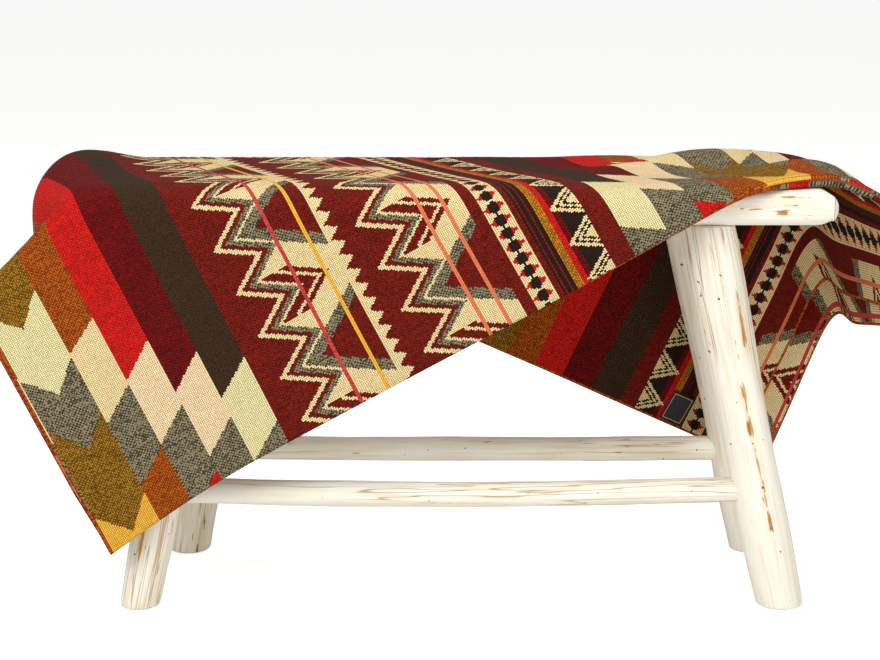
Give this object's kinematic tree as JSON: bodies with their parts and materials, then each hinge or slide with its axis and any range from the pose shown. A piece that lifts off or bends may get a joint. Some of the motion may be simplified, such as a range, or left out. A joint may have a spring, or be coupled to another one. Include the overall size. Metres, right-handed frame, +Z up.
{
  "type": "alpaca wool blanket draped over a log bench",
  "caption": "Wool blanket in Andean geometric bands, folded in half and draped askew over a rustic white-washed log bench.",
  "frame": {"origin": "middle of the base of the whole part's box, on the floor", "axes": "+Z up, +X along the bench to the viewer's right, -Y out of the front, where the blanket hangs lowest at the left"},
  "size_m": [1.1074, 0.3138, 0.53],
  "materials": {
    "whitewashed_wood": "white wash worn through to bare wood in streaks",
    "alpaca_wool": "fine knitted wool in coloured bands",
    "label_cloth": "plain woven label"
  },
  "bodies": {
    "root": {"blanket": "alpaca_wool", "label": "label_cloth", "seat": "whitewashed_wood", "leg_front_left": "whitewashed_wood", "leg_front_right": "whitewashed_wood", "leg_back_left": "whitewashed_wood", "leg_back_right": "whitewashed_wood", "stretcher_front": "whitewashed_wood", "stretcher_back": "whitewashed_wood"}
  },
  "joints": []
}
